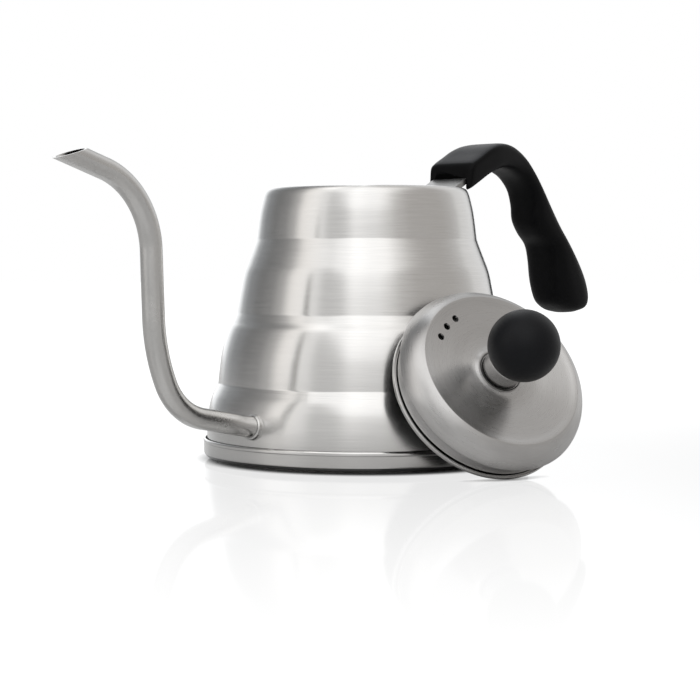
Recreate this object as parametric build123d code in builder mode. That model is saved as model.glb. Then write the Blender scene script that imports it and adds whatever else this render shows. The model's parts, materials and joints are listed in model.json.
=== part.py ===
# Gooseneck kettle with its lid taken off and leaning on the body.
# Millimetres, +Z up. The origin is the centre of the flat underside. The spout points along -X
# and the handle along +X.
import os
from math import cos, radians, sin

from build123d import *

os.makedirs("parts", exist_ok=True)

# ---------------------------------------------------------------- driving dimensions
wall = 1.0                      # sheet thickness of the body and of the lid

# body: three waists divide the wall into four rounded tiers
mouth_radius = 39.8
lip_radius = 0.8                # rounding of the mouth's upper edge
collar_depth = 8.0
rim_z = 119.4
rim_flat_radius = 42.6
rim_edge_middle = (45.2, 118.1)
rim_shoulder = (46.2, 114.5)
waist_high = (49.1, 96.7)
waist_middle = (57.7, 64.5)
waist_low = (65.6, 33.5)
foot_radius = 70.6
foot_z = 11.0
shell_bottom_z = 2.2

# base
disc_radius = 66.0
ring_radius = 72.2
ring_band = 0.9
ring_bottom_z = 1.2
ring_top_z = 9.5
pan_rim_height = 6.0

# spout
spout_radius = 4.5
spout_wall = 0.8
spout_root = (-66.0, 17.0)
spout_low_corner = (-113.7, 25.6)
spout_rise_corner = (-124.5, 51.3)
spout_high_corner = (-127.0, 115.5)
spout_end = (-176.7, 131.0)
spout_bends = (37.9, 72.2, 33.9)
tip_cut = ((-158.9, 129.8), (-174.1, 125.4))
weld_radius = 5.8
weld_length = 7.0               # 2.6 mm of it stands out of the body's wall
weld_taper = 6.0

# handle
strap_tilt = 28.5               # degrees above level
strap_start = (56.5, 119.5)     # lower edge of the end that faces the body
strap_thickness = 11.6
slab_thickness = 7.0            # of the strap above its channel
channel_width = 20.5
channel_length = 31.0
bracket_width = 20.0
bracket_thickness = 2.4
bracket_bead = 1.3              # how far the weld bead stands out of the wall
screw_offsets = (11.0, 23.0)    # along the strap from its end
screw_radius = 2.0
screw_head_radius = 3.7
screw_head_height = 2.4
washer_radius = 4.3
washer_thickness = 0.8
insert_radius = 3.0
insert_length = 5.0
thread_clearance = 0.05
cross_length = 4.2              # cross recess in the screw heads
cross_width = 0.9
cross_depth = 1.4

# lid, in its own frame: radius from its axis, height above its lowest edge. The side wall and
# the rim ring are a plug that hangs inside the mouth, the shoulder above them rests on the rim.
lid_centre = (-17.206, -77.832, 32.710)
lid_axis = (-0.27034, -0.79239, 0.54684)
lid_x_direction = (0.94643, -0.32290, 0.0)
lid_rim_radius = 39.3
lid_rim_thickness = 1.7
lid_wall_radius = 37.9
lid_wall_bottom = 2.4
lid_shoulder_radius = 40.9
lid_shoulder_bottom = 10.2
lid_crease = (34.4, 20.5)       # between the shoulder and the dished top
lid_sleeve_top = 9.0
lid_seat = 18.6                 # flat under the knob
lid_boss = (11.2, 18.3)
vent_radius = 1.5
vent_circle = 28.0
vent_angles = (118.0, 131.0, 144.0)
ball_radius = 14.4
ball_height = 38.7
ball_flat = 26.9
ferrule_radius = 8.3
ferrule_flare = 8.9
gasket_thickness = 0.8
knob_insert_radius = 3.5
knob_insert_length = 12.5
knob_washer_radius = 6.0


# ---------------------------------------------------------------- body profile
def tier_wall(inset):
    """The body's outer wall from the rim's edge to the foot, moved inwards by inset."""
    top = (rim_shoulder[0] - inset, rim_shoulder[1])
    high = (waist_high[0] - inset, waist_high[1])
    middle = (waist_middle[0] - inset, waist_middle[1])
    low = (waist_low[0] - inset, waist_low[1])
    foot = (foot_radius - inset, foot_z)
    ThreePointArc(top, (48.0 - inset, 106.0), high)
    Spline(high, (51.8 - inset, 89.6), (54.4 - inset, 82.4), (56.5 - inset, 72.7), middle)
    Spline(middle, (60.6 - inset, 58.6), (63.0 - inset, 51.0), (64.8 - inset, 40.6), low)
    Spline(low, (68.1 - inset, 28.2), (69.6 - inset, 22.9), (70.4 - inset, 15.5), foot)


def body_solid(growth):
    """The body's outer form as a filled solid, grown by a distance."""
    top = (rim_shoulder[0] + growth, rim_shoulder[1])
    with BuildPart() as solid:
        with BuildSketch(Plane.XZ):
            with BuildLine():
                tier_wall(-growth)
                Line((foot_radius + growth, foot_z), (foot_radius + growth, shell_bottom_z))
                Line((foot_radius + growth, shell_bottom_z), (0, shell_bottom_z))
                Line((0, shell_bottom_z), (0, rim_z + growth))
                Line((0, rim_z + growth), (rim_flat_radius, rim_z + growth))
                ThreePointArc(
                    (rim_flat_radius, rim_z + growth),
                    (rim_edge_middle[0] + growth, rim_edge_middle[1]),
                    top,
                )
            make_face()
        revolve(axis=Axis.Z)
    return solid.part


body_form = body_solid(0)
bead_form = body_solid(bracket_bead)

collar_bottom = rim_z - collar_depth
with BuildPart() as body_shell:
    with BuildSketch(Plane.XZ):
        with BuildLine():
            tier_wall(0)
            Line((foot_radius, foot_z), (foot_radius, shell_bottom_z))
            Line((foot_radius, shell_bottom_z), (foot_radius - wall, shell_bottom_z))
            Line((foot_radius - wall, shell_bottom_z), (foot_radius - wall, foot_z))
            tier_wall(wall)
            ThreePointArc(
                (rim_shoulder[0] - wall, rim_shoulder[1]),
                (rim_edge_middle[0] - 0.9, rim_edge_middle[1] - 0.7),
                (rim_flat_radius, rim_z - wall),
            )
            Line((rim_flat_radius, rim_z - wall), (mouth_radius + wall, rim_z - wall))
            Line((mouth_radius + wall, rim_z - wall), (mouth_radius + wall, collar_bottom))
            Line((mouth_radius + wall, collar_bottom), (mouth_radius, collar_bottom))
            Line((mouth_radius, collar_bottom), (mouth_radius, rim_z - lip_radius))
            ThreePointArc(
                (mouth_radius, rim_z - lip_radius),
                (mouth_radius + 0.3 * lip_radius, rim_z - 0.3 * lip_radius),
                (mouth_radius + lip_radius, rim_z),
            )
            Line((mouth_radius + lip_radius, rim_z), (rim_flat_radius, rim_z))
            ThreePointArc((rim_flat_radius, rim_z), rim_edge_middle, rim_shoulder)
        make_face()
    revolve(axis=Axis.Z)

# ---------------------------------------------------------------- base
with BuildPart() as base_ring:
    with BuildSketch(Plane.XZ):
        with BuildLine():
            Polyline(
                (disc_radius + 0.4, ring_bottom_z),
                (ring_radius - 1.6, ring_bottom_z),
                (ring_radius, ring_bottom_z + 1.6),
                (ring_radius, ring_top_z),
                (ring_radius - ring_band, ring_top_z),
                (ring_radius - ring_band, shell_bottom_z),
                (disc_radius + 0.4, shell_bottom_z),
                close=True,
            )
        make_face()
    revolve(axis=Axis.Z)
    top_edges = base_ring.edges().filter_by(GeomType.CIRCLE).group_by(Axis.Z)[-1]
    fillet(top_edges, radius=0.42)
base_ring.part.label = "base_ring"

with BuildPart() as base_disc:
    with BuildSketch(Plane.XY):
        Circle(disc_radius)
    extrude(amount=shell_bottom_z)
    chamfer(base_disc.edges().group_by(Axis.Z)[0], length=0.8)
base_disc.part.label = "base_disc"

with BuildPart() as base_pan:
    with BuildSketch(Plane.XY.offset(shell_bottom_z)):
        Circle(foot_radius - wall)
    extrude(amount=pan_rim_height)
    with BuildSketch(Plane.XY.offset(shell_bottom_z + wall)):
        Circle(foot_radius - 2 * wall)
    extrude(amount=pan_rim_height, mode=Mode.SUBTRACT)
    inner_floor_edge = base_pan.edges().filter_by(GeomType.CIRCLE).group_by(Axis.Z)[1]
    fillet(inner_floor_edge, radius=2.0)
base_pan.part.label = "base_pan"

# ---------------------------------------------------------------- spout
with BuildLine(Plane.XZ) as spout_path:
    FilletPolyline(spout_root, spout_low_corner, spout_rise_corner, spout_high_corner, spout_end,
                   radius=spout_bends)

root_plane = Plane(origin=spout_path.wire() @ 0, z_dir=spout_path.wire() % 0)
tip_point = Vector(tip_cut[0][0], 0, tip_cut[0][1])
tip_along = Vector(tip_cut[1][0], 0, tip_cut[1][1]) - tip_point
tip_plane = Plane(origin=tip_point, x_dir=tip_along, z_dir=tip_along.cross(Vector(0, 1, 0)))

with BuildPart() as spout_tube:
    with BuildSketch(root_plane):
        Circle(spout_radius)
        Circle(spout_radius - spout_wall, mode=Mode.SUBTRACT)
    sweep(path=spout_path.wire())
    split(bisect_by=tip_plane, keep=Keep.TOP)
spout_tube.part.label = "spout_tube"

with BuildPart() as spout_weld:
    with BuildSketch(root_plane):
        Circle(weld_radius)
    extrude(amount=weld_length, taper=weld_taper)
    with BuildSketch(root_plane):
        Circle(spout_radius)
    extrude(amount=20, mode=Mode.SUBTRACT)
    add(body_form, mode=Mode.SUBTRACT)
spout_weld.part.label = "spout_weld"

with body_shell:
    with BuildSketch(root_plane):
        Circle(spout_radius)
    extrude(amount=12, mode=Mode.SUBTRACT)
body_shell.part.label = "body_shell"

# ---------------------------------------------------------------- handle
strap_plane = Plane(
    origin=(strap_start[0], 0, strap_start[1]),
    x_dir=(cos(radians(strap_tilt)), 0, sin(radians(strap_tilt))),
    z_dir=(-sin(radians(strap_tilt)), 0, cos(radians(strap_tilt))),
)
slab_bottom = strap_thickness - slab_thickness      # height of the channel's roof on strap_plane

# Sections of the handle: centre x, centre z, fall of the centreline in degrees, thickness, width,
# corner radius. They run from the body to the free end.
handle_sections = (
    (50.6, 122.9, -28.5, 11.6, 27.2, 3.0),
    (60.0, 128.0, -28.5, 11.6, 27.2, 3.0),
    (69.2, 133.0, -28.5, 11.6, 27.0, 3.2),
    (80.0, 137.5, -12.0, 11.7, 26.0, 3.6),
    (91.2, 138.0, 11.0, 11.8, 23.8, 4.2),
    (103.4, 133.6, 38.0, 11.2, 20.6, 4.6),
    (112.9, 124.8, 50.0, 11.4, 19.6, 4.8),
    (120.9, 114.4, 56.0, 13.4, 20.4, 5.4),
    (129.0, 103.2, 59.0, 13.6, 22.0, 5.8),
    (137.4, 91.4, 60.0, 16.4, 23.6, 6.8),
    (143.6, 79.8, 62.0, 22.6, 24.8, 8.6),
    (147.3, 72.3, 66.0, 25.2, 25.4, 10.0),
    (149.4, 67.3, 68.0, 23.8, 23.8, 9.6),
    (150.8, 63.9, 69.0, 18.4, 18.4, 7.6),
    (151.3, 62.5, 69.0, 11.0, 11.0, 5.0),
)
end_face = Plane(origin=(56.5, 0, 119.5), x_dir=(0, 1, 0), z_dir=(-12.9, 0, 2.2))

with BuildPart() as handle_grip:
    for x, z, fall, thickness, width, corner in handle_sections:
        along = (cos(radians(fall)), 0, -sin(radians(fall)))
        with BuildSketch(Plane(origin=(x, 0, z), x_dir=(0, 1, 0), z_dir=along)):
            RectangleRounded(width, thickness, corner)
    loft()
    split(bisect_by=end_face, keep=Keep.BOTTOM)
    fillet(handle_grip.faces().sort_by(Axis.X)[0].edges(), radius=0.8)
    with BuildSketch(strap_plane.offset(slab_bottom)):
        with Locations((channel_length / 2 - 8, 0)):
            Rectangle(channel_length + 16, channel_width)
    extrude(amount=-12, mode=Mode.SUBTRACT)
    with BuildSketch(strap_plane.offset(slab_bottom)):
        with Locations([(offset, 0) for offset in screw_offsets]):
            Circle(insert_radius)
    extrude(amount=insert_length, mode=Mode.SUBTRACT)
handle_grip.part.label = "handle_grip"

with BuildPart() as handle_inserts:
    with BuildSketch(strap_plane.offset(slab_bottom)):
        with Locations([(offset, 0) for offset in screw_offsets]):
            Circle(insert_radius)
            Circle(screw_radius + thread_clearance, mode=Mode.SUBTRACT)
    extrude(amount=insert_length)
handle_inserts.part.label = "handle_inserts"

bracket_top = slab_bottom
bracket_bottom = slab_bottom - bracket_thickness
with BuildPart() as handle_bracket:
    arm_start = strap_plane.from_local_coords(Vector(-12.5, 0, bracket_top))
    arm_end = strap_plane.from_local_coords(Vector(channel_length - 1.5, 0, bracket_top))
    low_end = strap_plane.from_local_coords(Vector(channel_length - 1.5, 0, bracket_bottom))
    low_bend = strap_plane.from_local_coords(Vector(-7.2, 0, bracket_bottom))
    with BuildSketch(Plane.XZ):
        with BuildLine():
            Polyline(
                (43.0, arm_start.Z - 1.2),
                (arm_start.X, arm_start.Z),
                (arm_end.X, arm_end.Z),
                (low_end.X, low_end.Z),
                (low_bend.X, low_bend.Z),
                (48.9, 111.5),
                (50.7, 99.8),
                (43.0, 99.8),
                close=True,
            )
        make_face()
    extrude(amount=bracket_width / 2, both=True)
    add(body_form, mode=Mode.SUBTRACT)
    with BuildSketch(strap_plane.offset(bracket_top)):
        with Locations([(offset, 0) for offset in screw_offsets]):
            Circle(screw_radius + 0.25)
    extrude(amount=-6, mode=Mode.SUBTRACT)
handle_bracket.part.label = "handle_bracket"

with BuildPart() as bracket_weld:
    with BuildSketch(Plane.YZ.offset(40)):
        with Locations((0, 106.0)):
            Rectangle(bracket_width + 2.6, 15.0)
        with Locations((0, 107.3)):
            Rectangle(bracket_width, 15.0, mode=Mode.SUBTRACT)
    extrude(amount=12)
    add(bead_form, mode=Mode.INTERSECT)
    add(body_form, mode=Mode.SUBTRACT)
bracket_weld.part.label = "bracket_weld"

with BuildPart() as handle_screw_washers:
    with BuildSketch(strap_plane.offset(bracket_bottom)):
        with Locations([(offset, 0) for offset in screw_offsets]):
            Circle(washer_radius)
            Circle(screw_radius + 0.2, mode=Mode.SUBTRACT)
    extrude(amount=-washer_thickness)
handle_screw_washers.part.label = "handle_screw_washers"

head_seat = bracket_bottom - washer_thickness
strap_normal = Axis(strap_plane.origin, strap_plane.z_dir)
with BuildPart() as handle_screws:
    with BuildSketch(strap_plane.offset(head_seat)):
        with Locations([(offset, 0) for offset in screw_offsets]):
            Circle(screw_head_radius)
    extrude(amount=-screw_head_height)
    fillet(handle_screws.faces().group_by(strap_normal)[0].edges(), radius=0.6)
    with BuildSketch(strap_plane.offset(head_seat)):
        with Locations([(offset, 0) for offset in screw_offsets]):
            Circle(screw_radius)
    extrude(amount=slab_bottom - head_seat + insert_length - 0.5)
    with BuildSketch(strap_plane.offset(head_seat - screw_head_height)):
        with Locations([(offset, 0) for offset in screw_offsets]):
            Rectangle(cross_length, cross_width)
            Rectangle(cross_width, cross_length)
    extrude(amount=cross_depth, mode=Mode.SUBTRACT)
handle_screws.part.label = "handle_screws"

# ---------------------------------------------------------------- lid
lid_plane = Plane(origin=lid_centre, x_dir=lid_x_direction, z_dir=lid_axis)
lid_spin = Axis(lid_centre, lid_plane.z_dir)
lid_section = Plane(origin=lid_centre, x_dir=lid_plane.x_dir, z_dir=lid_plane.x_dir.cross(lid_plane.z_dir))
screw_hole = screw_radius + 0.2
shoulder_turn = lid_shoulder_bottom + 0.7       # height where the shoulder is widest
inner_wall = lid_wall_radius - wall

with BuildPart() as lid_cap:
    with BuildSketch(lid_section):
        with BuildLine():
            Line((screw_hole, lid_seat), (ferrule_radius + 0.4, lid_seat))
            ThreePointArc((ferrule_radius + 0.4, lid_seat), (9.8, 19.2), lid_boss)
            Spline(lid_boss, (15.0, 17.8), (22.0, 18.5), (29.0, 19.6), lid_crease)
            ThreePointArc(lid_crease, (38.2, 17.4), (lid_shoulder_radius, shoulder_turn))
            Line((lid_shoulder_radius, shoulder_turn), (lid_shoulder_radius - 0.7, lid_shoulder_bottom))
            Line((lid_shoulder_radius - 0.7, lid_shoulder_bottom), (lid_wall_radius, lid_shoulder_bottom))
            Line((lid_wall_radius, lid_shoulder_bottom), (lid_wall_radius, lid_wall_bottom))
            Line((lid_wall_radius, lid_wall_bottom), (inner_wall, lid_wall_bottom))
            Line((inner_wall, lid_wall_bottom), (inner_wall, lid_shoulder_bottom + wall))
            Line((inner_wall, lid_shoulder_bottom + wall),
                 (lid_shoulder_radius - wall, lid_shoulder_bottom + wall))
            ThreePointArc(
                (lid_shoulder_radius - wall, lid_shoulder_bottom + wall),
                (37.4, 16.8),
                (lid_crease[0] - 0.5, lid_crease[1] - wall),
            )
            Spline(
                (lid_crease[0] - 0.5, lid_crease[1] - wall),
                (29.0, 18.6),
                (22.0, 17.5),
                (15.0, 16.8),
                (lid_boss[0], lid_boss[1] - wall),
            )
            Line((lid_boss[0], lid_boss[1] - wall), (9.6, lid_seat - wall))
            Line((9.6, lid_seat - wall), (screw_hole, lid_seat - wall))
            Line((screw_hole, lid_seat - wall), (screw_hole, lid_seat))
        make_face()
    revolve(axis=lid_spin)
    with BuildSketch(lid_plane.offset(25)):
        for angle in vent_angles:
            with PolarLocations(vent_circle, 1, start_angle=angle):
                Circle(vent_radius)
    extrude(amount=-12, mode=Mode.SUBTRACT)
lid_cap.part.label = "lid_cap"

with BuildPart() as lid_rim_ring:
    with BuildSketch(lid_section):
        with BuildLine():
            Polyline(
                (lid_rim_radius - 4.0, 0),
                (lid_rim_radius, 0),
                (lid_rim_radius, lid_rim_thickness),
                (inner_wall, lid_rim_thickness),
                (inner_wall, lid_sleeve_top),
                (inner_wall - wall, lid_sleeve_top),
                (inner_wall - wall, wall),
                (lid_rim_radius - 4.0, wall),
                close=True,
            )
        make_face()
    revolve(axis=lid_spin)
    outer_edges = lid_rim_ring.edges().filter_by(
        lambda edge: edge.geom_type == GeomType.CIRCLE and abs(edge.radius - lid_rim_radius) < 0.01
    )
    fillet(outer_edges, radius=0.6)
lid_rim_ring.part.label = "lid_rim_ring"

with BuildPart() as knob_gasket:
    with BuildSketch(lid_plane.offset(lid_seat)):
        Circle(ferrule_radius)
        Circle(screw_radius + 0.3, mode=Mode.SUBTRACT)
    extrude(amount=gasket_thickness)
knob_gasket.part.label = "knob_gasket"

with BuildPart() as knob_ferrule:
    with BuildSketch(lid_section):
        with BuildLine():
            foot = lid_seat + gasket_thickness
            Polyline(
                (screw_radius + 0.3, foot),
                (ferrule_radius - 0.4, foot),
                (ferrule_radius, foot + 0.5),
                (ferrule_flare, ball_flat),
                (screw_radius + 0.3, ball_flat),
                close=True,
            )
        make_face()
    revolve(axis=lid_spin)
knob_ferrule.part.label = "knob_ferrule"

with BuildPart() as knob_ball:
    with Locations(lid_plane.offset(ball_height)):
        Sphere(ball_radius)
    split(bisect_by=lid_plane.offset(ball_flat), keep=Keep.TOP)
    with BuildSketch(lid_plane.offset(ball_flat)):
        Circle(knob_insert_radius)
    extrude(amount=knob_insert_length + 0.5, mode=Mode.SUBTRACT)
knob_ball.part.label = "knob_ball"

with BuildPart() as knob_insert:
    with BuildSketch(lid_plane.offset(ball_flat)):
        Circle(knob_insert_radius)
        Circle(screw_radius + thread_clearance, mode=Mode.SUBTRACT)
    extrude(amount=knob_insert_length)
knob_insert.part.label = "knob_insert"

washer_plane = lid_plane.offset(lid_seat - wall - washer_thickness)
with BuildPart() as knob_washer:
    with BuildSketch(washer_plane):
        Circle(knob_washer_radius)
        Circle(screw_hole, mode=Mode.SUBTRACT)
    extrude(amount=washer_thickness)
knob_washer.part.label = "knob_washer"

with BuildPart() as knob_screw:
    with BuildSketch(washer_plane):
        Circle(screw_head_radius)
    extrude(amount=-screw_head_height)
    with BuildSketch(washer_plane):
        Circle(screw_radius)
    extrude(amount=ball_flat - lid_seat + wall + washer_thickness + knob_insert_length - 1.5)
    with BuildSketch(washer_plane.offset(-screw_head_height)):
        Rectangle(cross_length, cross_width)
        Rectangle(cross_width, cross_length)
    extrude(amount=cross_depth, mode=Mode.SUBTRACT)
knob_screw.part.label = "knob_screw"

# ---------------------------------------------------------------- one file for each piece
pieces = (
    body_shell, base_ring, base_disc, base_pan, spout_tube, spout_weld,
    handle_grip, handle_inserts, handle_bracket, bracket_weld, handle_screw_washers, handle_screws,
    lid_cap, lid_rim_ring, knob_gasket, knob_ferrule, knob_ball, knob_insert, knob_washer, knob_screw,
)
for piece in pieces:
    export_step(piece.part, f"parts/{piece.part.label}.step")
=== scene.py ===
import json
from math import asin, cos, pi, radians, sin, sqrt, tan

import bmesh
import bpy
from mathutils import Matrix, Vector


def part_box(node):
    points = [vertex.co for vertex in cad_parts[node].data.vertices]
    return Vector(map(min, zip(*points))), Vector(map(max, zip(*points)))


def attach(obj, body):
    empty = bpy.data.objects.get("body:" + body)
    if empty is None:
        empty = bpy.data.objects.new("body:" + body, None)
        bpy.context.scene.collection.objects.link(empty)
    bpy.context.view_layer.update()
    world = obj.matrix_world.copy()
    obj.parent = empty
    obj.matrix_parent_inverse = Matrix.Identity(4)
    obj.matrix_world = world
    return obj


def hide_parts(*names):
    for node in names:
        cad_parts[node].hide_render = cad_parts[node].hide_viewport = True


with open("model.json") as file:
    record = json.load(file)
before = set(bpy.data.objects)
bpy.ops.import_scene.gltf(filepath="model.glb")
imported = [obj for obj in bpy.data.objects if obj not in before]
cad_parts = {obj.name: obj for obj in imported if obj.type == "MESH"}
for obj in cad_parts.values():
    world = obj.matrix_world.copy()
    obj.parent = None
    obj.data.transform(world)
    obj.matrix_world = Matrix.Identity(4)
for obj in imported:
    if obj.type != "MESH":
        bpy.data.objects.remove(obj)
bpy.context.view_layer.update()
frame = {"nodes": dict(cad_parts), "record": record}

MM = 0.001

# ---------------------------------------------------------------- camera
CAMERA_AZIMUTH = -48.0          # degrees, from looking along +Y
CAMERA_DISTANCE = 0.800         # from the body's axis
CAMERA_HEIGHT = 0.086
CAMERA_LENS = 92.47             # millimetres on a 36 mm sensor
CAMERA_TURN = 0.51              # degrees to the left of the body's axis
CAMERA_DROP = 2.74              # degrees below level


def make_camera():
    azimuth = radians(CAMERA_AZIMUTH)
    toward = Vector((-sin(azimuth), cos(azimuth), 0))
    eye = -toward * CAMERA_DISTANCE + Vector((0, 0, CAMERA_HEIGHT))
    heading = azimuth + radians(CAMERA_TURN)
    drop = radians(CAMERA_DROP)
    look = Vector((-sin(heading) * cos(drop), cos(heading) * cos(drop), -sin(drop)))
    data = bpy.data.cameras.new("camera")
    data.lens = CAMERA_LENS
    data.sensor_width = 36.0
    data.dof.use_dof = False
    data.clip_start = 0.01
    camera = bpy.data.objects.new("camera", data)
    camera.location = eye
    camera.rotation_euler = look.to_track_quat("-Z", "Y").to_euler()
    bpy.context.scene.collection.objects.link(camera)
    bpy.context.scene.camera = camera


# ---------------------------------------------------------------- mesh helpers
def new_object(name, verts, faces, matrix=None, smooth=True):
    mesh = bpy.data.meshes.new(name)
    mesh.from_pydata(verts, [], faces)
    mesh.validate()
    mesh.update()
    if smooth:
        mesh.polygons.foreach_set("use_smooth", [True] * len(mesh.polygons))
    obj = bpy.data.objects.new(name, mesh)
    if matrix is not None:
        obj.matrix_world = matrix
    bpy.context.scene.collection.objects.link(obj)
    return obj


def weighted_normals(obj):
    modifier = obj.modifiers.new("weighted_normals", "WEIGHTED_NORMAL")
    modifier.keep_sharp = True
    modifier.weight = 80
    return obj


def apply_modifiers(obj):
    bpy.context.view_layer.update()
    graph = bpy.context.evaluated_depsgraph_get()
    mesh = bpy.data.meshes.new_from_object(obj.evaluated_get(graph))
    obj.modifiers.clear()
    obj.data = mesh
    return obj


def face_outwards(obj):
    work = bmesh.new()
    work.from_mesh(obj.data)
    bmesh.ops.remove_doubles(work, verts=work.verts, dist=1e-7)
    bmesh.ops.recalc_face_normals(work, faces=work.faces)
    work.to_mesh(obj.data)
    work.free()
    return obj


def rounded(points, closed=False, steps=6):
    """A polyline of (x, y, corner radius) with each corner turned into an arc."""
    out = []
    count = len(points)
    for i in range(count):
        x, y, radius = points[i]
        here = Vector((x, y))
        if radius <= 0 or (not closed and i in (0, count - 1)):
            out.append((x, y))
            continue
        before = Vector(points[i - 1][:2]) - here
        after = Vector(points[(i + 1) % count][:2]) - here
        reach = min(before.length, after.length) * 0.499
        before.normalize()
        after.normalize()
        turn = pi - before.angle(after)
        if turn < 1e-3:
            out.append((x, y))
            continue
        setback = min(radius * tan(turn / 2), reach)
        radius = setback / tan(turn / 2)
        centre = here + (before + after).normalized() * sqrt(setback ** 2 + radius ** 2)
        start = here + before * setback - centre
        sweep = start.angle_signed(here + after * setback - centre)
        for k in range(steps + 1):
            a = -sweep * k / steps
            out.append((centre.x + start.x * cos(a) - start.y * sin(a),
                        centre.y + start.x * sin(a) + start.y * cos(a)))
    return out


def catmull(points, steps):
    """A smooth curve through points, as a list of tuples."""
    out = []
    count = len(points)
    for i in range(count - 1):
        p0 = points[max(i - 1, 0)]
        p1 = points[i]
        p2 = points[i + 1]
        p3 = points[min(i + 2, count - 1)]
        for k in range(steps):
            t = k / steps
            out.append(tuple(
                0.5 * (2 * b + (c - a) * t + (2 * a - 5 * b + 4 * c - d) * t * t
                       + (3 * b - a - 3 * c + d) * t ** 3)
                for a, b, c, d in zip(p0, p1, p2, p3)))
    out.append(tuple(points[-1]))
    return out


def arc_through(first, between, last, steps):
    """Points on the circle through three points, from the first to the last."""
    ax, ay = first
    bx, by = between
    cx, cy = last
    a2 = ax ** 2 + ay ** 2
    b2 = bx ** 2 + by ** 2
    c2 = cx ** 2 + cy ** 2
    d = 2 * (ax * (by - cy) + bx * (cy - ay) + cx * (ay - by))
    centre = Vector((
        (a2 * (by - cy) + b2 * (cy - ay) + c2 * (ay - by)) / d,
        (a2 * (cx - bx) + b2 * (ax - cx) + c2 * (bx - ax)) / d,
    ))
    start = Vector(first) - centre
    sweep = -start.angle_signed(Vector(last) - centre)
    out = []
    for k in range(steps + 1):
        a = sweep * k / steps
        out.append((centre.x + start.x * cos(a) - start.y * sin(a),
                    centre.y + start.x * sin(a) + start.y * cos(a)))
    return out


def soften(points, passes):
    """Rounds the corners of a closely spaced line, its ends stay where they are."""
    for _ in range(passes):
        inner = [
            ((a[0] + 2 * b[0] + c[0]) / 4, (a[1] + 2 * b[1] + c[1]) / 4)
            for a, b, c in zip(points, points[1:], points[2:])
        ]
        points = [points[0]] + inner + [points[-1]]
    return points


def lathe(name, profile, segments=256, matrix=None, closed=True):
    """Turns a profile of (radius, height) in millimetres about the local Z axis."""
    verts = []
    faces = []
    rings = []
    for radius, height in profile:
        if radius < 1e-4:
            rings.append([len(verts)] * segments)
            verts.append((0, 0, height * MM))
            continue
        start = len(verts)
        for k in range(segments):
            a = 2 * pi * k / segments
            verts.append((radius * MM * cos(a), radius * MM * sin(a), height * MM))
        rings.append(list(range(start, start + segments)))
    pairs = list(zip(rings, rings[1:]))
    if closed:
        pairs.append((rings[-1], rings[0]))
    for low, high in pairs:
        for k in range(segments):
            j = (k + 1) % segments
            quad = [low[k], low[j], high[j], high[k]]
            face = [v for n, v in enumerate(quad) if v not in quad[:n]]
            if len(face) > 2:
                faces.append(face)
    obj = new_object(name, verts, faces, matrix)
    face_outwards(obj)
    return weighted_normals(obj)


def cut_with(obj, cutter):
    modifier = obj.modifiers.new("cut", "BOOLEAN")
    modifier.operation = "DIFFERENCE"
    modifier.solver = "EXACT"
    modifier.object = cutter
    apply_modifiers(obj)
    bpy.data.objects.remove(cutter)
    return obj


# ---------------------------------------------------------------- body, base and spout
WALL = 1.0
MOUTH_RADIUS = 39.8
COLLAR_DEPTH = 8.0
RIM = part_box("body_shell")[1].z / MM
SHELL_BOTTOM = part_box("body_shell")[0].z / MM
RING_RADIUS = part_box("base_ring")[1].x / MM
RING_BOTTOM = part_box("base_ring")[0].z / MM
RING_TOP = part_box("base_ring")[1].z / MM
DISC_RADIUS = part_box("base_disc")[1].x / MM
RIM_FLAT_RADIUS = 42.4          # outer edge of the flat on top of the rim
RIM_SHOULDER = (46.2, 114.5)
WAIST_HIGH = (49.1, 96.7)
WAIST_MIDDLE = (57.7, 64.5)
WAIST_LOW = (65.6, 33.5)
FOOT_RADIUS = 70.6
WAIST_SOFTNESS = 3              # smoothing passes that round each waist
BORE_RADIUS = 4.5               # hole in the body's wall behind the spout
BORE_PLACE = (-69.5, 0, 17.6)
BORE_DEPTH = 16.0
BORE_TILT = 80.0                # degrees from upright


def tier_wall(steps=14):
    """The body's outer wall from the shoulder down to the foot, in four tiers."""
    tiers = (
        (RIM_SHOULDER, (47.35, 109.6), (48.2, 104.0), (48.75, 99.6), WAIST_HIGH),
        (WAIST_HIGH, (50.6, 92.6), (52.6, 87.4), (54.4, 82.4), (55.9, 75.4), (57.0, 69.0), WAIST_MIDDLE),
        (WAIST_MIDDLE, (59.2, 61.0), (60.9, 57.8), (62.7, 52.2), (64.1, 46.0), (65.1, 38.6), WAIST_LOW),
        (WAIST_LOW, (66.8, 31.1), (68.3, 27.8), (69.5, 23.4), (70.3, 17.4), (FOOT_RADIUS, 12.0),
         (FOOT_RADIUS, 8.0)),
    )
    wall = []
    for tier in tiers:
        wall += catmull(tier, steps)[:-1]
    wall.append(tiers[-1][-1])
    return wall


def body_profile():
    shoulder = [
        (RIM_FLAT_RADIUS, RIM), (43.9, RIM - 0.35), (45.0, RIM - 1.5), (45.7, RIM - 3.1), RIM_SHOULDER,
    ]
    outer = catmull(shoulder, 6)[:-1] + soften(tier_wall(), WAIST_SOFTNESS)
    inner = [(x - WALL, y) for x, y in soften(tier_wall(8), WAIST_SOFTNESS)]
    inner.reverse()
    foot = [(FOOT_RADIUS, SHELL_BOTTOM), (FOOT_RADIUS - WALL, SHELL_BOTTOM)]
    collar_bottom = RIM - COLLAR_DEPTH
    neck = rounded([
        (RIM_FLAT_RADIUS - WALL * 0.4, RIM - WALL, 0),
        (MOUTH_RADIUS + WALL, RIM - WALL, 0.4),
        (MOUTH_RADIUS + WALL, collar_bottom, 0.35),
        (MOUTH_RADIUS, collar_bottom, 0.35),
        (MOUTH_RADIUS, RIM, 1.0),
        (RIM_FLAT_RADIUS, RIM, 0),
    ])
    return outer + foot + inner + neck


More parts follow.
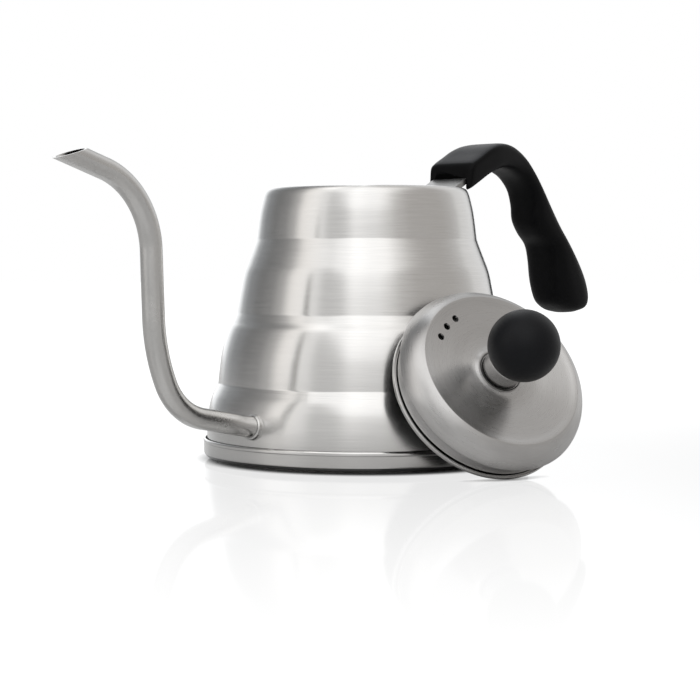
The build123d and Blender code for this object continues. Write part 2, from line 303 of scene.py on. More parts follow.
def make_body():
    body = lathe("body_wall", body_profile(), segments=360)
    bpy.ops.mesh.primitive_cylinder_add(vertices=64, radius=BORE_RADIUS * MM, depth=BORE_DEPTH * MM,
                                        location=Vector(BORE_PLACE) * MM,
                                        rotation=(0, radians(BORE_TILT), 0))
    cut_with(body, bpy.context.object)
    weighted_normals(body)
    return body


def make_base_ring():
    band = 0.9
    inner = DISC_RADIUS + 0.4
    profile = rounded([
        (inner, RING_BOTTOM, 0.3),
        (RING_RADIUS - 1.5, RING_BOTTOM, 1.2),
        (RING_RADIUS - 0.2, RING_BOTTOM + 1.7, 1.2),
        (RING_RADIUS - 0.2, RING_TOP - 1.9, 0.15),
        (RING_RADIUS, RING_TOP - 1.5, 0.5),
        (RING_RADIUS - 0.05, RING_TOP - 0.6, 0.6),
        (RING_RADIUS - 0.45, RING_TOP, 0.3),
        (RING_RADIUS - band, RING_TOP - 0.15, 0.3),
        (RING_RADIUS - band, SHELL_BOTTOM, 0.2),
        (inner, SHELL_BOTTOM, 0.3),
    ], closed=True)
    return lathe("base_flange", profile, segments=360)


def make_base_disc():
    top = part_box("base_disc")[1].z / MM
    profile = rounded([
        (0, 0, 0), (0.6, 0, 0), (0.9, 0.25, 0.1), (24.0, 0.25, 0.15), (24.6, 0, 0.2),
        (46.0, 0, 0.2), (46.5, 0.3, 0.1), (47.1, 0.3, 0.1), (47.6, 0, 0.2),
        (DISC_RADIUS - 0.8, 0, 0.8), (DISC_RADIUS, 0.8, 0.6), (DISC_RADIUS, top, 0.2), (0, top, 0),
    ])
    return lathe("base_plate", profile, segments=256, closed=False)


def make_base_pan():
    low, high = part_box("base_pan")
    radius = high.x / MM
    floor, lip = low.z / MM, high.z / MM
    profile = rounded([
        (0, floor, 0), (radius, floor, 0.5), (radius, lip, 0.3), (radius - 1.0, lip, 0.3),
        (radius - 1.0, floor + 1.0, 2.0), (0, floor + 1.0, 0),
    ])
    return lathe("base_floor", profile, segments=256, closed=False)


SPOUT_RADIUS = 4.5
SPOUT_WALL = 0.8
SPOUT_CORNERS = (
    (-66.0, 17.0, 0), (-113.3, 26.0, 37.9), (-124.5, 51.3, 72.2), (-127.0, 115.5, 33.9), (-176.7, 131.0, 0),
)
TIP_HIGH = Vector((-158.9, 0, 129.8)) * MM
TIP_LOW = Vector((-174.1, 0, 125.4)) * MM


def spout_route():
    """The spout's centreline as evenly spaced points, in metres."""
    corners = rounded([(x, z, r) for x, z, r in SPOUT_CORNERS], steps=40)
    points = [Vector((x, 0, z)) * MM for x, z in corners]
    spacing = 0.0012
    even = [points[0]]
    for a, b in zip(points, points[1:]):
        steps = max(1, round((b - a).length / spacing))
        even += [a.lerp(b, k / steps) for k in range(1, steps + 1)]
    return even


def tube(name, route, radius, wall, sides=64):
    verts = []
    faces = []
    for i, point in enumerate(route):
        ahead = route[min(i + 1, len(route) - 1)]
        behind = route[max(i - 1, 0)]
        along = (ahead - behind).normalized()
        across = Vector((0, 1, 0))
        up = along.cross(across)
        for size in (radius, radius - wall):
            for k in range(sides):
                a = 2 * pi * k / sides
                verts.append(point + (across * cos(a) + up * sin(a)) * size * MM)
    loop = 2 * sides
    for i in range(len(route) - 1):
        for shell in (0, sides):
            for k in range(sides):
                a = i * loop + shell + k
                b = i * loop + shell + (k + 1) % sides
                faces.append((a, b, b + loop, a + loop))
    for i in (0, len(route) - 1):
        for k in range(sides):
            a = i * loop + k
            b = i * loop + (k + 1) % sides
            faces.append((a, b, b + sides, a + sides))
    return face_outwards(new_object(name, verts, faces))


def make_spout():
    spout = tube("spout_pipe", spout_route(), SPOUT_RADIUS, SPOUT_WALL)
    across = Vector((0, 1, 0))
    along = (TIP_LOW - TIP_HIGH).normalized()
    outward = along.cross(across)
    if outward.z < 0:
        outward.negate()
    work = bmesh.new()
    work.from_mesh(spout.data)
    cut = bmesh.ops.bisect_plane(work, geom=work.verts[:] + work.edges[:] + work.faces[:], dist=1e-7,
                                 plane_co=TIP_HIGH, plane_no=outward, clear_outer=True)
    rim = [e for e in cut["geom_cut"] if isinstance(e, bmesh.types.BMEdge)]
    bmesh.ops.bridge_loops(work, edges=rim)
    bmesh.ops.recalc_face_normals(work, faces=work.faces)
    for face in work.faces:
        face.smooth = True
    work.to_mesh(spout.data)
    work.free()
    bevel = spout.modifiers.new("lip", "BEVEL")
    bevel.width = 0.0002
    bevel.segments = 2
    bevel.angle_limit = radians(50)
    return weighted_normals(spout)


def root_frame():
    start = Vector((SPOUT_CORNERS[0][0], 0, SPOUT_CORNERS[0][1])) * MM
    along = (Vector((SPOUT_CORNERS[1][0], 0, SPOUT_CORNERS[1][1])) * MM - start).normalized()
    side = Vector((0, 1, 0))
    up = along.cross(side)
    return Matrix.Translation(start) @ Matrix((side, up, along)).transposed().to_4x4()


def make_spout_weld():
    inner = SPOUT_RADIUS - 0.02
    profile = rounded([
        (inner, 3.0, 0), (5.55, 3.0, 0), (5.5, 4.6, 0.4), (5.3, 5.9, 0.5), (4.8, 6.4, 0.4), (inner, 6.3, 0),
    ], closed=True)
    return lathe("spout_collar", profile, segments=96, matrix=root_frame())


# ---------------------------------------------------------------- handle
# Pairs of points in the plane of the spout and handle, x and z in millimetres: one on the outer
# line, one on the inner line. Then the full width there and how square the section is.
HANDLE_PAIRS = (
    ((59.2, 132.4), (57.4, 119.3), 26.4, 7.0),
    ((63.0, 134.5), (61.6, 121.3), 26.6, 7.0),
    ((68.0, 137.1), (67.4, 124.3), 26.6, 7.0),
    ((74.0, 140.3), (74.0, 127.6), 26.4, 6.5),
    ((80.0, 142.4), (80.8, 130.1), 26.0, 6.0),
    ((86.5, 143.4), (87.2, 131.4), 25.0, 5.0),
    ((93.0, 143.0), (93.4, 131.4), 23.6, 4.2),
    ((99.5, 141.2), (99.2, 130.2), 22.0, 3.6),
    ((106.0, 138.0), (104.8, 127.8), 20.8, 3.2),
    ((112.0, 133.4), (109.2, 124.4), 20.0, 3.0),
    ((118.0, 127.6), (112.6, 120.0), 19.6, 2.9),
    ((124.0, 120.9), (114.2, 113.6), 20.0, 2.8),
    ((129.6, 113.8), (114.8, 106.6), 21.0, 2.8),
    ((135.4, 105.8), (119.6, 100.6), 22.0, 2.8),
    ((141.6, 97.9), (126.6, 95.2), 23.2, 2.8),
    ((147.6, 91.0), (128.9, 88.4), 24.2, 2.8),
    ((153.4, 84.0), (129.9, 79.8), 24.9, 2.8),
    ((157.6, 77.6), (131.3, 73.2), 25.3, 2.7),
    ((160.0, 71.8), (134.0, 67.4), 25.0, 2.6),
    ((160.1, 67.4), (138.4, 64.2), 23.6, 2.5),
    ((158.4, 64.6), (142.8, 62.4), 20.0, 2.4),
    ((154.6, 62.7), (146.6, 61.6), 12.0, 2.2),
)
GRIP_SIDES = 72                 # points round each section
GRIP_END_RADIUS = 2.2           # rounding of the end that faces the body
GRIP_TAPER = 0.06               # how much narrower the section is along its inner line
STRAP_TILT = radians(28.5)
STRAP_START = Vector((56.5, 0, 119.5))
CHANNEL_WIDTH = 20.5
CHANNEL_START = -14.0           # along the strap from STRAP_START
CHANNEL_END = 31.0
CHANNEL_FLOOR = -9.0            # across the strap from STRAP_START
CHANNEL_ROOF = 4.6
CHANNEL_CORNER = 1.6
INSERT_OFFSETS = (11.0, 23.0)   # along the strap from STRAP_START
INSERT_RADIUS = 2.9
INSERT_BORE = 2.05
INSERT_LENGTH = 3.8


def make_inserts():
    """Two metal sleeves let into the roof of the strap's channel."""
    tilt = Matrix.Rotation(-STRAP_TILT, 4, "Y")
    verts = []
    faces = []
    top = CHANNEL_ROOF + INSERT_LENGTH
    profile = rounded([
        (INSERT_BORE, CHANNEL_ROOF, 0), (INSERT_RADIUS, CHANNEL_ROOF, 0.2), (INSERT_RADIUS, top, 0.2),
        (INSERT_BORE, top, 0),
    ], closed=True)
    for offset in INSERT_OFFSETS:
        sleeve = lathe("insert_sleeve", profile, segments=48)
        first = len(verts)
        place = Matrix.Translation(STRAP_START * MM) @ tilt @ Matrix.Translation((offset * MM, 0, 0))
        verts += [place @ vertex.co for vertex in sleeve.data.vertices]
        faces += [[first + v for v in face.vertices] for face in sleeve.data.polygons]
        bpy.data.objects.remove(sleeve)
    return weighted_normals(new_object("inserts", verts, faces))


def superellipse(count, power):
    """A ring between a circle and a square that just touches a square of side two."""
    ring = []
    for k in range(count):
        a = 2 * pi * k / count
        c, s = cos(a), sin(a)
        size = (abs(c) ** power + abs(s) ** power) ** (-1 / power)
        ring.append((c * size, s * size))
    return ring


def grip_sections():
    """The handle's sections: centre, half thickness as a vector, half width and squareness."""
    rows = [(*outer, *inner, width, power) for outer, inner, width, power in HANDLE_PAIRS]
    sections = []
    for outer_x, outer_z, inner_x, inner_z, width, power in catmull(rows, 5):
        middle = Vector(((outer_x + inner_x) / 2, 0, (outer_z + inner_z) / 2))
        half = Vector(((outer_x - inner_x) / 2, 0, (outer_z - inner_z) / 2))
        sections.append((middle, half, width / 2, power))
    start = sections[0][0]
    ahead = (sections[1][0] - start).normalized()
    clear = GRIP_END_RADIUS + 0.3
    later = [section for section in sections if (section[0] - start).dot(ahead) > clear]
    return end_rounding(sections[0], ahead, GRIP_END_RADIUS) + later


def make_handle():
    count = GRIP_SIDES
    sections = grip_sections()
    verts = []
    faces = []
    for middle, half, side, power in sections:
        for u, v in superellipse(count, power):
            reach = side * u * (1 - GRIP_TAPER * (1 - v) / 2)
            verts.append((middle + half * v + Vector((0, reach, 0))) * MM)
    for i in range(len(sections) - 1):
        for k in range(count):
            a = i * count + k
            b = i * count + (k + 1) % count
            faces.append((a, b, b + count, a + count))
    faces.append(tuple(range(count)))
    last = (len(sections) - 1) * count
    faces.append(tuple(range(last, last + count)))
    grip = face_outwards(new_object("grip", verts, faces))
    cut_with(grip, channel_cutter())
    return weighted_normals(grip)


def end_rounding(section, ahead, edge, steps=5):
    """Sections that grow from the flat end face to the full size along a quarter circle."""
    middle, half, side, power = section
    out = []
    for k in range(steps + 1):
        a = (pi / 2) * k / steps
        inset = edge * (1 - sin(a))
        shift = edge * (1 - cos(a))
        out.append((middle + ahead * shift, half * (1 - inset / half.length), side - inset, power))
    return out


def channel_cutter():
    """The space for the bracket in the strap's underside, open at the end and below."""
    along = Vector((cos(STRAP_TILT), 0, sin(STRAP_TILT)))
    normal = Vector((-sin(STRAP_TILT), 0, cos(STRAP_TILT)))
    side = Vector((0, 1, 0))
    half = CHANNEL_WIDTH / 2
    outline = rounded([
        (-half, CHANNEL_FLOOR, 0), (-half, CHANNEL_ROOF, CHANNEL_CORNER),
        (half, CHANNEL_ROOF, CHANNEL_CORNER), (half, CHANNEL_FLOOR, 0),
    ])
    verts = []
    for reach in (CHANNEL_START, CHANNEL_END):
        for u, v in outline:
            verts.append((STRAP_START + along * reach + normal * v + side * u) * MM)
    n = len(outline)
    faces = [tuple(range(n)), tuple(range(2 * n - 1, n - 1, -1))]
    for k in range(n):
        j = (k + 1) % n
        faces.append((k, k + n, j + n, j))
    return face_outwards(new_object("channel_cutter", verts, faces))


# ---------------------------------------------------------------- lid
LID_AXIS = Vector((-0.27034, -0.79239, 0.54684)).normalized()
LID_SIDE = Vector((0.94643, -0.32290, 0.0)).normalized()
BALL_HEIGHT = 38.7
BALL_LOW, BALL_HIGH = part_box("knob_ball")
BALL_RADIUS = (BALL_HIGH.x - BALL_LOW.x) / 2 / MM
BALL_FLAT = 26.9
LID_RIM_RADIUS = 39.3
LID_RIM_THICKNESS = 1.7
LID_WALL_RADIUS = 37.9
LID_WALL_BOTTOM = 2.4
LID_SLEEVE_TOP = 9.0
LID_SHOULDER_RADIUS = 40.9
LID_SHOULDER_BOTTOM = 10.2
LID_CREASE = (34.4, 20.5)       # between the shoulder and the dished top
LID_SEAT = 18.6                 # flat under the knob
LID_SEGMENTS = 320
FERRULE_RADIUS = 8.3
FERRULE_FLARE = 8.9
GASKET = 0.8
KNOB_BORE = 3.5
KNOB_BORE_DEPTH = 13.0
SCREW_HOLE = 2.2
VENT_RADIUS = 1.5
VENT_CIRCLE = 28.0
VENT_HEIGHT = 18.5
VENT_DEPTH = 8.0
VENT_ANGLES = (118.0, 131.0, 144.0)


def lid_frame():
    """The lid's own frame: origin on its lowest edge's plane, Z along its axis."""
    side = (LID_SIDE - LID_AXIS * LID_SIDE.dot(LID_AXIS)).normalized()
    up = LID_AXIS.cross(side)
    origin = (BALL_LOW + BALL_HIGH) / 2 - LID_AXIS * BALL_HEIGHT * MM
    return Matrix.Translation(origin) @ Matrix((side, up, LID_AXIS)).transposed().to_4x4()


def make_lid_cap():
    boss = [
        (SCREW_HOLE, LID_SEAT), (8.5, LID_SEAT), (8.8, LID_SEAT + 0.15), (9.2, LID_SEAT + 0.45),
        (9.7, LID_SEAT + 0.5), (10.3, LID_SEAT + 0.25),
    ]
    dish = catmull([
        (11.2, 18.3), (13.0, 17.95), (17.0, 17.9), (22.0, 18.5), (27.0, 19.1), (31.0, 19.7), (33.3, 20.3),
        LID_CREASE,
    ], 9)
    turn = (LID_SHOULDER_RADIUS, LID_SHOULDER_BOTTOM + 0.7)
    shoulder = arc_through(LID_CREASE, (38.2, 17.4), turn, 20)
    top = soften(dish + shoulder[1:], 1)
    inner_radius = LID_WALL_RADIUS - WALL
    inner_shoulder = (LID_SHOULDER_RADIUS - WALL, LID_SHOULDER_BOTTOM + WALL)
    wall = rounded([
        (*turn, 0), (LID_SHOULDER_RADIUS - 0.3, LID_SHOULDER_BOTTOM, 0.5),
        (LID_WALL_RADIUS, LID_SHOULDER_BOTTOM, 0.4), (LID_WALL_RADIUS, LID_WALL_BOTTOM, 0.2),
        (inner_radius, LID_WALL_BOTTOM, 0.2), (inner_radius, LID_SHOULDER_BOTTOM + WALL, 0.3),
        (*inner_shoulder, 0),
    ])
    under_crease = (LID_CREASE[0] - 0.5, LID_CREASE[1] - WALL)
    under = arc_through(inner_shoulder, (37.4, 16.8), under_crease, 14)
    under_dish = catmull([
        under_crease, (29.0, 18.6), (22.0, 17.5), (15.0, 16.8), (11.2, 17.3), (9.6, 17.6),
    ], 6)
    profile = boss + top + wall[1:] + under[1:] + under_dish[1:] + [(SCREW_HOLE, LID_SEAT - WALL)]
    cap = lathe("cap", profile, segments=LID_SEGMENTS, matrix=lid_frame())
    cap.modifiers.clear()
    for angle in VENT_ANGLES:
        a = radians(angle)
        middle = Vector((VENT_CIRCLE * cos(a), VENT_CIRCLE * sin(a), VENT_HEIGHT)) * MM
        bpy.ops.mesh.primitive_cylinder_add(vertices=48, radius=VENT_RADIUS * MM, depth=VENT_DEPTH * MM)
        cutter = bpy.context.object
        cutter.matrix_world = lid_frame() @ Matrix.Translation(middle)
        bpy.context.view_layer.update()
        cut_with(cap, cutter)
    return weighted_normals(cap)


def make_lid_ring():
    sleeve = LID_WALL_RADIUS - WALL
    groove = sleeve - 0.8
    hole = LID_RIM_RADIUS - 4.0
    profile = rounded([
        (hole, 0.0, 0.4), (LID_RIM_RADIUS, 0.0, 0.4), (LID_RIM_RADIUS, LID_RIM_THICKNESS, 0.3),
        (groove, LID_RIM_THICKNESS, 0.1), (groove, LID_WALL_BOTTOM, 0.1),
        (sleeve, LID_WALL_BOTTOM + 0.1, 0.1), (sleeve, LID_SLEEVE_TOP, 0.2),
        (sleeve - WALL, LID_SLEEVE_TOP, 0.2), (sleeve - WALL, WALL, 0.2),
        (hole, WALL, 0.4),
    ], closed=True, steps=6)
    return lathe("lid_flange", profile, segments=LID_SEGMENTS, matrix=lid_frame())


def make_knob():
    steps = 72
    start = asin((BALL_FLAT - BALL_HEIGHT) / BALL_RADIUS)
    arc = []
    for k in range(1, steps):
        a = start + (pi / 2 - start) * k / steps
        arc.append((BALL_RADIUS * cos(a), BALL_HEIGHT + BALL_RADIUS * sin(a)))
    foot = BALL_RADIUS * cos(start) - 0.35
    bore_top = BALL_FLAT + KNOB_BORE_DEPTH
    profile = [(KNOB_BORE, BALL_FLAT), (foot, BALL_FLAT)] + arc + [(0, BALL_HEIGHT + BALL_RADIUS)]
    profile += [(0, bore_top), (KNOB_BORE, bore_top), (KNOB_BORE, BALL_FLAT)]
    return lathe("ball", profile, segments=160, matrix=lid_frame(), closed=False)


def make_ferrule():
    foot = LID_SEAT + GASKET
    profile = rounded([
        (SCREW_HOLE, foot, 0), (FERRULE_RADIUS - 0.1, foot, 0.4), (FERRULE_RADIUS, foot + 1.2, 1.0),
        (FERRULE_RADIUS + 0.1, foot + 4.0, 4.0), (FERRULE_FLARE, BALL_FLAT - 0.4, 0.5),
        (FERRULE_FLARE - 0.3, BALL_FLAT, 0.2), (SCREW_HOLE, BALL_FLAT, 0),
    ], closed=True)
    return lathe("ferrule", profile, segments=128, matrix=lid_frame())


def make_gasket():
    hole = SCREW_HOLE + 0.1
    top = LID_SEAT + GASKET
    profile = rounded([
        (hole, LID_SEAT, 0), (FERRULE_RADIUS, LID_SEAT, 0.2), (FERRULE_RADIUS, top, 0.2), (hole, top, 0),
    ], closed=True)
    return lathe("knob_washer_ring", profile, segments=128, matrix=lid_frame())


# ---------------------------------------------------------------- materials
def add(tree, kind, inputs=None, **settings):
    node = tree.nodes.new(kind)
    for key, value in settings.items():
        setattr(node, key, value)
    for key, value in (inputs or {}).items():
        if isinstance(value, bpy.types.NodeSocket):
            tree.links.new(value, node.inputs[key])
        else:
            node.inputs[key].default_value = value
    return node


def calc(tree, operation, *values):
    return add(tree, "ShaderNodeMath", dict(enumerate(values)), operation=operation).outputs[0]


def remap(tree, value, low, high, out_low, out_high):
    return add(tree, "ShaderNodeMapRange", {
        "Value": value, "From Min": low, "From Max": high, "To Min": out_low, "To Max": out_high,
    }).outputs[0]


def noise(tree, vector, scale, detail=2.0, roughness=0.5):
    return add(tree, "ShaderNodeTexNoise", {
        "Vector": vector, "Scale": scale, "Detail": detail, "Roughness": roughness,
    }).outputs["Fac"]


def weighted(tree, *pairs):
    """The sum of values, each times its weight."""
    total = None
    for value, weight in pairs:
        share = calc(tree, "MULTIPLY", value, weight)
        total = share if total is None else calc(tree, "ADD", total, share)
    return total


def blend(tree, share, low, high):
    """A colour between two others, by a share from nought to one."""
    return add(tree, "ShaderNodeMix", {"Factor": share, 6: low, 7: high}, data_type="RGBA").outputs[2]


def shade(colour, factor):
    """A colour made darker or lighter by a factor, with full opacity."""
    return tuple(min(1.0, c * factor) for c in colour) + (1.0,)


def coordinate(tree, name):
    return add(tree, "ShaderNodeTexCoord").outputs[name]


def new_material(name):
    material = bpy.data.materials.new(name)
    material.use_nodes = True
    tree = material.node_tree
    shader = tree.nodes["Principled BSDF"]
    return material, tree, shader


def finish_surface(tree, shader, paint, shine, height, depth, distance):
    """Gives a shader its colour and roughness, and a relief from a height."""
    relief = add(tree, "ShaderNodeBump", {"Height": height, "Strength": depth, "Distance": distance})
    for name, socket in (("Base Color", paint), ("Roughness", shine), ("Normal", relief.outputs[0])):
        tree.links.new(socket, shader.inputs[name])


def around_axis(tree, along, fine):
    """Coordinates that change slowly along circles about the local Z axis and fast across them."""
    parts = add(tree, "ShaderNodeSeparateXYZ", {0: coordinate(tree, "Object")}).outputs
    radius = calc(tree, "SQRT", calc(tree, "ADD", calc(tree, "MULTIPLY", parts[0], parts[0]),
                                     calc(tree, "MULTIPLY", parts[1], parts[1])))
    safe = calc(tree, "MAXIMUM", radius, 0.0005)
    across = weighted(tree, (parts[2], 1.0), (radius, 0.93))
    return add(tree, "ShaderNodeCombineXYZ", {
        0: calc(tree, "MULTIPLY", calc(tree, "DIVIDE", parts[0], safe), along),
        1: calc(tree, "MULTIPLY", calc(tree, "DIVIDE", parts[1], safe), along),
        2: calc(tree, "MULTIPLY", across, fine),
    }).outputs[0]


def faces_inwards(tree):
    """One on faces that look down or towards the local Z axis, nought on the others: the mask for painted
    shade.
    """
    normal = coordinate(tree, "Normal")
    place = add(tree, "ShaderNodeVectorMath", {0: coordinate(tree, "Object"), 1: (1.0, 1.0, 0.0)},
                operation="MULTIPLY").outputs[0]
    away = add(tree, "ShaderNodeVectorMath", {0: place}, operation="NORMALIZE").outputs[0]
    outward = add(tree, "ShaderNodeVectorMath", {0: normal, 1: away},
                  operation="DOT_PRODUCT").outputs["Value"]
    up = add(tree, "ShaderNodeSeparateXYZ", {0: normal}).outputs[2]
    return remap(tree, calc(tree, "MINIMUM", outward, up), -0.3, -0.6, 0.0, 1.0)


def brushed_steel(name, colour, roughness, anisotropy=0.8, line_depth=0.12, along=3.0, painted_shade=None):
    """Steel with fine lines turned about the local Z axis, a little uneven in shine.

    With a shade colour given, faces that look down or towards the axis take that darker colour: painted
    shade, standing for the shadow inside hollows and under rims.
    """
    material, tree, shader = new_material(name)
    lines = noise(tree, around_axis(tree, along, 5200.0), 1.0, 3.0, 0.7)
    broad = noise(tree, around_axis(tree, along * 0.2, 900.0), 1.0, 2.0, 0.6)
    cloud = noise(tree, coordinate(tree, "Object"), 38.0, 3.0)
    uneven = weighted(tree, (lines, 0.80), (broad, 0.10), (cloud, 0.10))
    shine = remap(tree, uneven, 0.3, 0.7, roughness - 0.03, roughness + 0.03)
    share = remap(tree, uneven, 0.3, 0.7, 0.0, 1.0)
    paint = blend(tree, share, shade(colour, STEEL_DARK), shade(colour, STEEL_LIGHT))
    if painted_shade is not None:
        # painted shade: faces looking down or inwards are darkened where shadow would fall
        paint = blend(tree, faces_inwards(tree), paint, shade(painted_shade, 1.0))
    finish_surface(tree, shader, paint, shine, lines, line_depth, 0.02 * MM)
    tangent = add(tree, "ShaderNodeTangent", direction_type="RADIAL", axis="Z")
    tree.links.new(tangent.outputs[0], shader.inputs["Tangent"])
    shader.inputs["Metallic"].default_value = 1.0
    shader.inputs["Anisotropic"].default_value = anisotropy
    shader.inputs["Anisotropic Rotation"].default_value = 0.25
    return material


def satin_metal(name, colour, roughness, grain=900.0, depth=0.15):
    """Metal with an even satin finish: a fine directionless grain and soft clouds."""
    material, tree, shader = new_material(name)
    place = coordinate(tree, "Object")
    fine = noise(tree, place, grain, 2.0, 0.6)
    cloud = noise(tree, place, 60.0, 3.0)
    uneven = weighted(tree, (fine, 0.5), (cloud, 0.5))
    shine = remap(tree, uneven, 0.3, 0.7, roughness - 0.04, roughness + 0.04)
    share = remap(tree, uneven, 0.3, 0.7, 0.0, 1.0)
    paint = blend(tree, share, shade(colour, STEEL_DARK), shade(colour, STEEL_LIGHT))
    finish_surface(tree, shader, paint, shine, fine, depth, 0.02 * MM)
    shader.inputs["Metallic"].default_value = 1.0
    return material


def moulded_black(name, colour, roughness, grain=1500.0, depth=0.3, level=0.4, painted_highlight=None):
    """Moulded polymer with a fine spark-eroded grain and slight handling marks.

    With a highlight colour given, the grain on faces that look up is painted paler, to that colour: a
    painted highlight from the light above.
    """
    material, tree, shader = new_material(name)
    place = coordinate(tree, "Object")
    fine = noise(tree, place, grain, 2.0, 0.6)
    marks = noise(tree, place, 45.0, 4.0, 0.6)
    uneven = weighted(tree, (fine, 0.35), (marks, 0.65))
    shine = remap(tree, uneven, 0.3, 0.7, roughness - 0.05, roughness + 0.06)
    paint = blend(tree, remap(tree, marks, 0.3, 0.7, 0.0, 1.0), shade(colour, 0.8), shade(colour, 1.2))
    if painted_highlight is not None:
        # painted highlight: faces that look up are lightened as if lit from above
        up = add(tree, "ShaderNodeSeparateXYZ", {0: coordinate(tree, "Normal")}).outputs[2]
        looks_up = remap(tree, up, 0.72, 0.88, 0.0, 1.0)
        speckle = remap(tree, fine, 0.3, 0.7, 0.4, 1.0)
        paint = blend(tree, calc(tree, "MULTIPLY", looks_up, speckle), paint, shade(painted_highlight, 1.0))
    finish_surface(tree, shader, paint, shine, fine, depth, 0.03 * MM)
    shader.inputs["Specular IOR Level"].default_value = level
    return material


STEEL_DARK = 0.93               # how far the tone of a steel wanders round its colour
STEEL_LIGHT = 1.06
MATERIALS = {
    "body_steel": brushed_steel("body_brushed_steel", (0.74, 0.735, 0.725), 0.22),
    "spout_steel": satin_metal("spout_satin_steel", (0.64, 0.635, 0.625), 0.24),
    # the lid and the polished rings take a painted shade colour on faces that look down or inwards
    "lid_steel": brushed_steel("lid_brushed_steel", (0.57, 0.565, 0.56), 0.29, anisotropy=0.9, along=4.0,
                               painted_shade=(0.05, 0.05, 0.05)),
    "polished_steel": brushed_steel("rim_polished_steel", (0.70, 0.695, 0.685), 0.17, anisotropy=0.4,
                                    line_depth=0.1, painted_shade=(0.10, 0.10, 0.10)),
    "base_steel": brushed_steel("base_spun_steel", (0.66, 0.655, 0.645), 0.38),
    "bracket_steel": satin_metal("bracket_steel", (0.34, 0.34, 0.335), 0.30, grain=500.0, depth=0.08),
    "fastener_steel": satin_metal("fastener_steel", (0.66, 0.66, 0.65), 0.25),
    "insert_brass": satin_metal("insert_brass", (0.78, 0.60, 0.30), 0.32),
    # the handle's top takes a painted highlight colour
    "handle_black": moulded_black("handle_moulded_black", (0.0018, 0.0019, 0.0024), 0.44, depth=0.4,
                                  level=0.10, painted_highlight=(0.034, 0.036, 0.041)),
    "knob_black": moulded_black("knob_moulded_black", (0.0030, 0.0035, 0.0050), 0.44, level=0.20),
    "gasket_black": moulded_black("gasket_rubber", (0.004, 0.004, 0.004), 0.6, level=0.2),
}
FERRULE_STEEL = brushed_steel("ferrule_dark_steel", (0.42, 0.415, 0.41), 0.22, anisotropy=0.4,
                              line_depth=0.1)


# ---------------------------------------------------------------- studio
def toward_camera():
    azimuth = radians(CAMERA_AZIMUTH)
    return Vector((sin(azimuth), -cos(azimuth), 0)), Vector((cos(azimuth), sin(azimuth), 0))


# The studio walls round the kettle: degrees to the right of the camera's side of the room,
# the light that comes from there, and how warm it is.
WALLS = (
    (-180, 1.40, -0.01), (-164, 1.40, -0.01), (-152, 1.10, -0.02), (-141, 0.46, -0.03), (-130, 0.28, -0.03),
    (-112, 0.21, 0.00), (-96, 0.27, 0.01), (-84, 0.46, 0.02), (-70, 1.08, 0.03), (-58, 1.12, 0.02),
    (-48, 0.95, 0.01), (-38, 0.66, 0.01), (-24, 0.66, 0.01), (-12, 0.84, 0.01), (8, 0.72, 0.01),
    (22, 0.70, 0.02), (36, 0.55, 0.03), (50, 0.47, 0.04), (88, 0.46, 0.04), (98, 0.50, 0.03),
    (108, 0.58, 0.02), (120, 0.80, 0.01), (146, 0.86, 0.00), (156, 0.52, -0.01), (166, 0.62, -0.01),
    (174, 1.10, -0.01), (180, 1.40, -0.01),
)
# A softbox hangs over the kettle. Its edges are given as slopes: how far to the right and how far
# towards the camera a ray moves while it climbs by one, from where the edge starts to where it is full.
SOFTBOX_LEFT = (-1.08, -0.52)
SOFTBOX_RIGHT = (1.25, 0.42)
SOFTBOX_BACK = (-0.30, 0.70)
SOFTBOX_FRONT = (4.8, 1.6)
SOFTBOX_LIGHT = 0.62


def make_world():
    world = bpy.data.worlds.new("studio")
    bpy.context.scene.world = world
    world.use_nodes = True
    tree = world.node_tree
    tree.nodes.clear()
    front, right = toward_camera()
    direction = add(tree, "ShaderNodeTexCoord").outputs["Generated"]

    def along(vector):
        return add(tree, "ShaderNodeVectorMath", {0: direction, 1: tuple(vector)},
                   operation="DOT_PRODUCT").outputs["Value"]

    turn = calc(tree, "ARCTAN2", along(right), along(front))
    ramp = add(tree, "ShaderNodeValToRGB", {"Fac": remap(tree, turn, -pi, pi, 0.0, 1.0)})
    ramp.color_ramp.interpolation = "EASE"
    stops = ramp.color_ramp.elements
    while len(stops) > 1:
        stops.remove(stops[-1])
    for number, (degrees_right, light, warmth) in enumerate(WALLS):
        place = (degrees_right + 180) / 360
        stop = stops[0] if number == 0 else stops.new(place)
        stop.position = place
        stop.color = (light * (1 + warmth), light, light * (1 - warmth), 1.0)
    climb = calc(tree, "MAXIMUM", along((0, 0, 1)), 0.02)
    aside = calc(tree, "DIVIDE", along(right), climb)
    forward = calc(tree, "DIVIDE", along(front), climb)
    glow = SOFTBOX_LIGHT
    for value, (start, full) in ((aside, SOFTBOX_LEFT), (aside, SOFTBOX_RIGHT),
                                 (forward, SOFTBOX_BACK), (forward, SOFTBOX_FRONT)):
        edge = add(tree, "ShaderNodeMapRange", {"Value": value, "From Min": start, "From Max": full},
                   interpolation_type="SMOOTHSTEP").outputs[0]
        glow = calc(tree, "MULTIPLY", edge, glow)
    light = add(tree, "ShaderNodeVectorMath", {
        0: ramp.outputs[0], 1: add(tree, "ShaderNodeCombineXYZ", {0: glow, 1: glow, 2: glow}).outputs[0],
    }).outputs[0]
    room = add(tree, "ShaderNodeBackground", {"Color": light, "Strength": 1.0})
    white = add(tree, "ShaderNodeBackground", {"Color": (1.0, 1.0, 1.0, 1.0), "Strength": 1.0})
    seen = add(tree, "ShaderNodeLightPath").outputs["Is Camera Ray"]
    mixed = add(tree, "ShaderNodeMixShader", {0: seen, 1: room.outputs[0], 2: white.outputs[0]})
    out = add(tree, "ShaderNodeOutputWorld")
    tree.links.new(mixed.outputs[0], out.inputs[0])


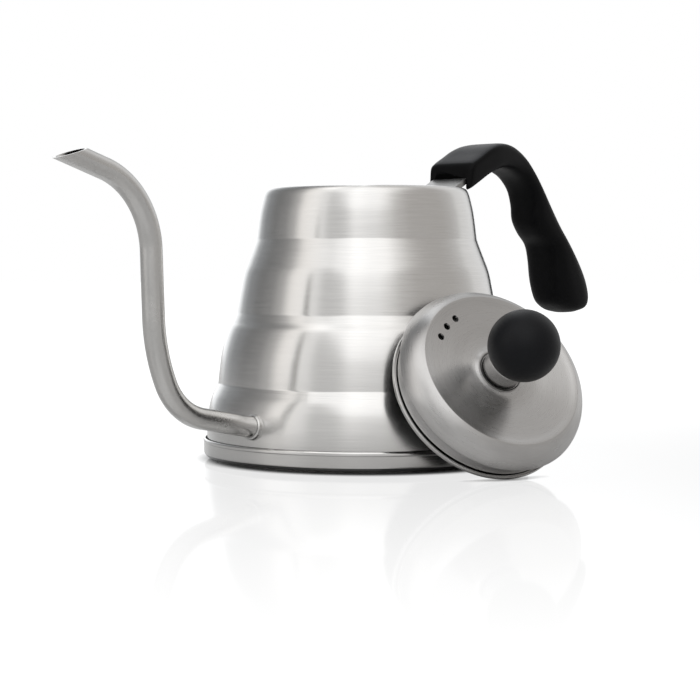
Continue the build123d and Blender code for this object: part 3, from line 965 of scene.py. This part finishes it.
def make_floor():
    size = 6.0
    floor = new_object("floor", [(-size, -size, 0), (size, -size, 0), (size, size, 0), (-size, size, 0)],
                       [(0, 1, 2, 3)], smooth=False)
    floor.location.z = -0.00005
    material = bpy.data.materials.new("floor_white")
    material.use_nodes = True
    tree = material.node_tree
    tree.nodes.clear()
    place = add(tree, "ShaderNodeTexCoord").outputs["Object"]
    gloss = remap(tree, noise(tree, place, 9.0, 2.0), 0.3, 0.7, 0.045, 0.06)
    paint = add(tree, "ShaderNodeBsdfDiffuse", {"Color": (0.60, 0.60, 0.60, 1.0)})
    apart = add(tree, "ShaderNodeVectorMath", {0: place}, operation="LENGTH").outputs["Value"]
    sheen = remap(tree, apart, 0.12, 0.45, 0.975, 1.12)
    # painted contact shadow: ambient occlusion dims the floor's glow close to the kettle
    contact_shadow = add(tree, "ShaderNodeAmbientOcclusion", {"Distance": 0.005}, samples=12).outputs["AO"]
    lit = add(tree, "ShaderNodeEmission", {
        "Color": (1.0, 1.0, 1.0, 1.0), "Strength": calc(tree, "MULTIPLY", sheen, contact_shadow),
    })
    seen = add(tree, "ShaderNodeLightPath").outputs["Is Camera Ray"]
    base = add(tree, "ShaderNodeMixShader", {0: seen, 1: paint.outputs[0], 2: lit.outputs[0]})
    coat = add(tree, "ShaderNodeBsdfAnisotropic", {"Color": (1.0, 1.0, 1.0, 1.0), "Roughness": gloss})
    mirror = remap(tree, apart, 0.08, 0.48, 0.19, 0.05)
    mixed = add(tree, "ShaderNodeMixShader", {0: mirror, 1: base.outputs[0], 2: coat.outputs[0]})
    out = add(tree, "ShaderNodeOutputMaterial")
    tree.links.new(mixed.outputs[0], out.inputs[0])
    floor.data.materials.append(material)


# ---------------------------------------------------------------- assembly
PIECES = (
    # maker, CAD node it stands for, body, material slot
    (make_body, "body_shell", "kettle", "body_steel"),
    (make_base_ring, "base_ring", "kettle", "polished_steel"),
    (make_base_disc, "base_disc", "kettle", "base_steel"),
    (make_base_pan, "base_pan", "kettle", "body_steel"),
    (make_spout, "spout_tube", "kettle", "spout_steel"),
    (make_spout_weld, "spout_weld", "kettle", "spout_steel"),
    (make_handle, "handle_grip", "kettle", "handle_black"),
    (make_inserts, "handle_inserts", "kettle", "insert_brass"),
    (make_lid_cap, "lid_cap", "lid", "lid_steel"),
    (make_lid_ring, "lid_rim_ring", "lid", "polished_steel"),
    (make_ferrule, "knob_ferrule", "lid", "polished_steel"),
    (make_gasket, "knob_gasket", "lid", "gasket_black"),
    (make_knob, "knob_ball", "lid", "knob_black"),
)


def main():
    make_camera()
    make_world()
    make_floor()
    for make, node, body, slot in PIECES:
        piece = make()
        piece.data.materials.clear()
        piece.data.materials.append(FERRULE_STEEL if make is make_ferrule else MATERIALS[slot])
        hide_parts(node)
        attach(piece, body)
    replaced = {node for _, node, _, _ in PIECES}
    for part in frame["record"]["subparts"]:
        if part["node"] not in replaced:
            kept = frame["nodes"][part["node"]]
            for holder in kept.material_slots:
                holder.material = MATERIALS[part["material_slot"]]


main()
bpy.context.scene.view_settings.view_transform = "Standard"
